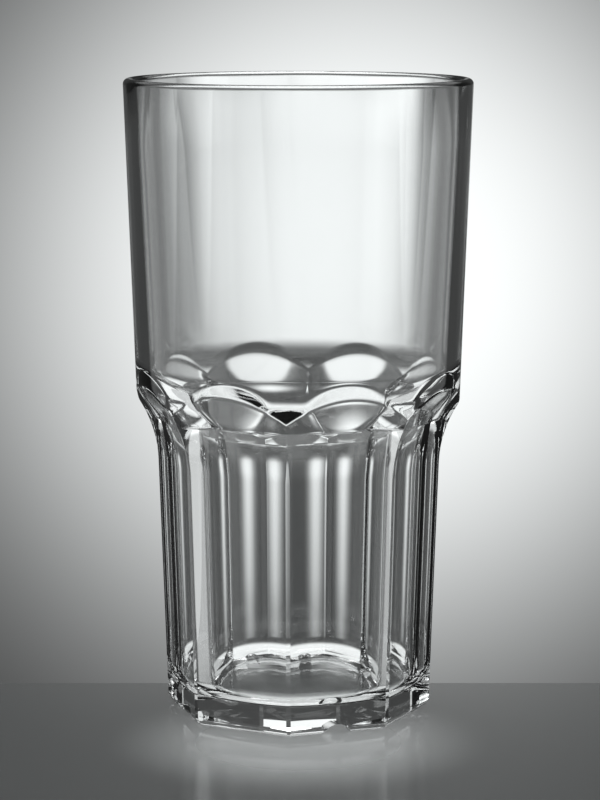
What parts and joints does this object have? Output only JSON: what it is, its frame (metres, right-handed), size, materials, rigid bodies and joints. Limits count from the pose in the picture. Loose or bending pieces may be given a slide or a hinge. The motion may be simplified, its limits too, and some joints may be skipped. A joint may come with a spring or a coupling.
{
  "type": "plastic tumbler cup",
  "caption": "Clear moulded plastic drinking tumbler with a round tapered upper body, a scalloped shoulder, a faceted lower body and a thick base with drain notches.",
  "frame": {"origin": "centre of the base, on the plane that the foot ring rests on", "axes": "+Z along the cup's axis, towards the mouth; +X through the middle of a facet with a drain notch, and +Y through the middle of the next such facet but one"},
  "size_m": [0.079, 0.079, 0.145],
  "materials": {
    "clear_plastic": "polished, clear and colourless"
  },
  "bodies": {
    "root": {"tumbler": "clear_plastic"}
  },
  "joints": []
}
